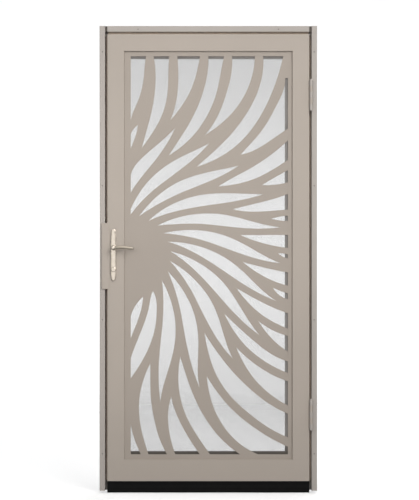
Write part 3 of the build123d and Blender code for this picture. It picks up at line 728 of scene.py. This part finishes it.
# ------------------------------------------------------------- weatherstrips
def bulb_and_fin(b, at, ends, along, out):
    """A bulb on the flange and a thin fin that leans from its root into the gap.

    at is the bulb's middle across the gap, out the direction towards the gap,
    ends the two ends of the strip and along the axis it runs on (0 or 2).
    """
    y0 = -2.0 * MM

    def point(u, y, t):
        across = at + out * u * MM
        return (t, y0 - y * MM, across) if along == 0 else (across, y0 - y * MM, t)

    bulb = [(-3.0, 0.0), (3.0, 0.0), (3.0, 5.0)]
    bulb += [(3.0 * math.cos(q), 5.0 + 3.0 * math.sin(q)) for q in (math.radians(d) for d in range(15, 180, 15))]
    bulb += [(-3.0, 5.0)]
    reach, rise = (12.2, 15.0) if along == 2 else (16.0, 14.5)
    spine = [(1.0, 0.5), (0.40 * reach, 0.15 * rise), (0.70 * reach, 0.40 * rise), (0.88 * reach, 0.70 * rise), (reach, rise)]
    spine = smooth_curve(spine, 4)
    upper, lower = [], []
    for i, p in enumerate(spine):
        q0, q1 = spine[max(0, i - 1)], spine[min(len(spine) - 1, i + 1)]
        du, dy = q1[0] - q0[0], q1[1] - q0[1]
        n = math.hypot(du, dy)
        h = 0.62 - 0.22 * i / (len(spine) - 1)
        upper.append((p[0] - dy / n * h, p[1] + du / n * h))
        lower.append((p[0] + dy / n * h, p[1] - du / n * h))
    fin = upper + lower[::-1]
    steps = 60
    for profile, sway in ((bulb, 0.0), (fin, 0.3)):
        rings = []
        for k in range(steps + 1):
            t = ends[0] + (ends[1] - ends[0]) * k / steps
            drift = sway * (math.sin(11.0 * k / steps) + 0.5 * math.sin(29.0 * k / steps + 1.0))
            rings.append([point(u + drift * max(0.0, y) / 12.0, y, t) for u, y in profile])
        b.rings(rings)


def weatherstrip(name, node, side):
    lo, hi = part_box(node)
    b = Build()
    bulb_and_fin(b, (lo.x + hi.x) / 2, (lo.z, hi.z), 2, side)
    return make(b, name, TAN_VINYL_PAINTED_LIGHT, "frame", 40, (node,))


# the jamb strips wear the paled tan vinyl, painted light in their gaps
weatherstrip("latch_side_strip", "latch_weatherstrip", -1)
weatherstrip("hinge_side_strip", "hinge_weatherstrip", 1)
# the header's strip wears the paler copy, painted light in the shaded header gap
top_lo, top_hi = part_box("header_weatherstrip")
b = Build()
bulb_and_fin(b, (top_lo.z + top_hi.z) / 2, (top_lo.x, top_hi.x), 0, 1)
make(b, "header_strip", HEADER_VINYL_PAINTED_LIGHT, "frame", 40, ("header_weatherstrip",))

# ------------------------------------------------------------- screen gasket
def screen_gasket():
    """A ribbed rubber strip, mitred at the corners, round the woven screen."""
    lo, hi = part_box("screen_gasket")
    inner = (-352 * MM, 343.5 * MM, 176.5 * MM, 1937.5 * MM)
    outer = (lo.x, hi.x, lo.z, hi.z)
    y_back, y_front = hi.y, lo.y
    # across the strip, from the sight edge (0) to the bar (1): share and depth
    profile = [
        (0.0, 0.0), (0.0, 0.70), (0.06, 0.90), (0.14, 0.97), (0.22, 0.90), (0.30, 0.72),
        (0.38, 0.90), (0.46, 1.0), (0.54, 0.90), (0.62, 0.72), (0.70, 0.90), (0.80, 0.98),
        (0.92, 0.94), (1.0, 0.86), (1.0, 0.0),
    ]
    b = Build()
    rings = []
    for cx, cz in ((0, 2), (1, 2), (1, 3), (0, 3), (0, 2)):
        ring = []
        for s, h in profile:
            x = inner[cx] + (outer[cx] - inner[cx]) * s
            z = inner[cz] + (outer[cz] - inner[cz]) * s
            ring.append((x, y_back + (y_front - y_back) * h, z))
        rings.append(ring)
    k = len(profile)
    verts = [p for r in rings[:4] for p in r]
    faces = []
    for i in range(4):
        for j in range(k):
            a, c = i * k + j, i * k + (j + 1) % k
            d, e = ((i + 1) % 4) * k + (j + 1) % k, ((i + 1) % 4) * k + j
            faces.append((a, c, d, e))
    b.add(verts, faces)
    return make(b, "screen_spline", VINYL, "leaf", 50, ("screen_gasket",))


screen_gasket()

# ------------------------------------------------------------------ the stage
FLOOR_Z = -8.6 * MM


def studio_floor():
    n, r = 96, 14.0
    verts = [(0, 0, FLOOR_Z)] + [
        (r * math.cos(2 * math.pi * i / n), r * math.sin(2 * math.pi * i / n), FLOOR_Z)
        for i in range(n)
    ]
    faces = [(0, 1 + i, 1 + (i + 1) % n) for i in range(n)]
    me = bpy.data.meshes.new("studio_floor")
    me.from_pydata(verts, [], faces)
    obj = bpy.data.objects.new("studio_floor", me)
    scene.collection.objects.link(obj)
    m = Mat("studio_white").set(roughness=0.9, specular=0.1)
    m.color(m.ramp(m.noise(0.7, 2.0, 0.5), (0.3, (0.905, 0.905, 0.905)), (0.7, (0.92, 0.92, 0.92))))
    # the floor melts into the white surroundings away from the door
    away = m.node("ShaderNodeVectorMath", {0: m.coord.outputs["Object"]}, operation="LENGTH")
    clear = m.node("ShaderNodeBsdfTransparent")
    # paper-white where it is looked at, greyer in what it throws back
    glow = m.node("ShaderNodeEmission", {"Strength": 0.35})
    bright = m.node("ShaderNodeAddShader", {0: m.b.outputs[0], 1: glow.outputs[0]})
    grey = m.node("ShaderNodeBsdfDiffuse", {"Color": (0.42, 0.42, 0.42, 1)})
    ray = m.node("ShaderNodeLightPath")
    paper = m.node(
        "ShaderNodeMixShader",
        {0: ray.outputs["Is Camera Ray"], 1: grey.outputs[0], 2: bright.outputs[0]},
    )
    mix = m.node(
        "ShaderNodeMixShader",
        {0: m.spread(away.outputs["Value"], 1.4, 6.0, 0.0, 1.0), 1: paper.outputs[0], 2: clear.outputs[0]},
    )
    m.t.links.new(mix.outputs[0], m.t.nodes["Material Output"].inputs["Surface"])
    me.materials.append(m.m)
    return obj


studio_floor()


def area(name, place, aim, size, power, color=(1, 1, 1), spread=180):
    data = bpy.data.lights.new(name, "AREA")
    data.shape = "RECTANGLE"
    data.size, data.size_y = size
    data.energy = power
    data.color = color
    data.spread = math.radians(spread)
    obj = bpy.data.objects.new(name, data)
    obj.location = place
    obj.rotation_euler = (Vector(aim) - Vector(place)).to_track_quat("-Z", "Y").to_euler()
    obj.visible_camera = False
    scene.collection.objects.link(obj)
    return obj


area("key_softbox", (2.2, -4.6, 3.6), (-0.1, 0.0, 1.45), (3.0, 3.0), 22.5, (1.0, 0.985, 0.965), 54)
fill = area("fill_softbox", (-2.2, -4.6, 2.2), (-0.4, 0.0, 1.47), (2.0, 2.0), 3.8, (1.0, 0.985, 0.965), 36)
fill.visible_glossy = False
area("front_softbox", (-1.3, -10.2, 1.5), (0.0, 0.0, 1.05), (6.0, 5.0), 85.0, (1.0, 0.99, 0.975))
area("room_side_softbox", (1.5, 3.2, 2.6), (0.0, 0.0, 1.1), (2.0, 2.0), 32.0)

# White surroundings. What the camera sees is over-bright, most of all straight
# behind the door; what lights the door is softer, with a darker band in front.
world = bpy.data.worlds.new("studio")
scene.world = world
world.use_nodes = True
wt = world.node_tree
wt.nodes.clear()


def wnode(kind, inputs=None, **attrs):
    n = wt.nodes.new(kind)
    for k, v in attrs.items():
        setattr(n, k, v)
    for k, v in (inputs or {}).items():
        if isinstance(v, bpy.types.NodeSocket):
            wt.links.new(v, n.inputs[k])
        else:
            n.inputs[k].default_value = v
    return n


sky = wnode("ShaderNodeTexCoord")
split = wnode("ShaderNodeSeparateXYZ", {0: sky.outputs["Generated"]})
up = wnode("ShaderNodeMath", {0: split.outputs[2], 1: 1.0}, operation="MULTIPLY")
level = wnode("ShaderNodeMath", {0: up.outputs[0]}, operation="ABSOLUTE")
seen = wnode(
    "ShaderNodeMapRange",
    {"Value": level.outputs[0], "From Min": 0.0, "From Max": 0.13, "To Min": 1.40, "To Max": 1.01},
    interpolation_type="SMOOTHSTEP",
)
lit = wnode("ShaderNodeMapRange", {"Value": up.outputs[0], "From Min": -0.3, "From Max": 0.7, "To Min": 0.22, "To Max": 0.62})
bg_seen = wnode("ShaderNodeBackground", {"Color": (1, 1, 1, 1), "Strength": seen.outputs[0]})
bg_lit = wnode("ShaderNodeBackground", {"Color": (0.985, 0.99, 1, 1), "Strength": lit.outputs[0]})
path = wnode("ShaderNodeLightPath")
both = wnode("ShaderNodeMixShader", {0: path.outputs["Is Camera Ray"], 1: bg_lit.outputs[0], 2: bg_seen.outputs[0]})
out = wnode("ShaderNodeOutputWorld", {"Surface": both.outputs[0]})

scene.view_settings.view_transform = "Standard"
scene.view_settings.look = "None"
scene.view_settings.exposure = 0.0
scene.view_settings.gamma = 1.0

# ------------------------------------------------------------------ the camera
# Straight on from mid height with a long lens: 4.4825 mm of door to a pixel of
# a picture 419 wide and 500 high, whose middle is 5.4 mm right of the doorway's.
LENS, SENSOR = 135.0, 36.0
PX = 4.4825 * MM
face = -43 * MM
distance = 500 * PX * LENS / SENSOR
cam_data = bpy.data.cameras.new("camera")
cam_data.lens = LENS
cam_data.sensor_width = SENSOR
cam_data.sensor_fit = "AUTO"
cam_data.clip_end = 100.0
cam = bpy.data.objects.new("camera", cam_data)
cam.location = (5.4 * MM, face - distance, 1080.0 * MM)
cam.rotation_euler = (math.radians(90), 0, 0)
scene.collection.objects.link(cam)
scene.camera = cam
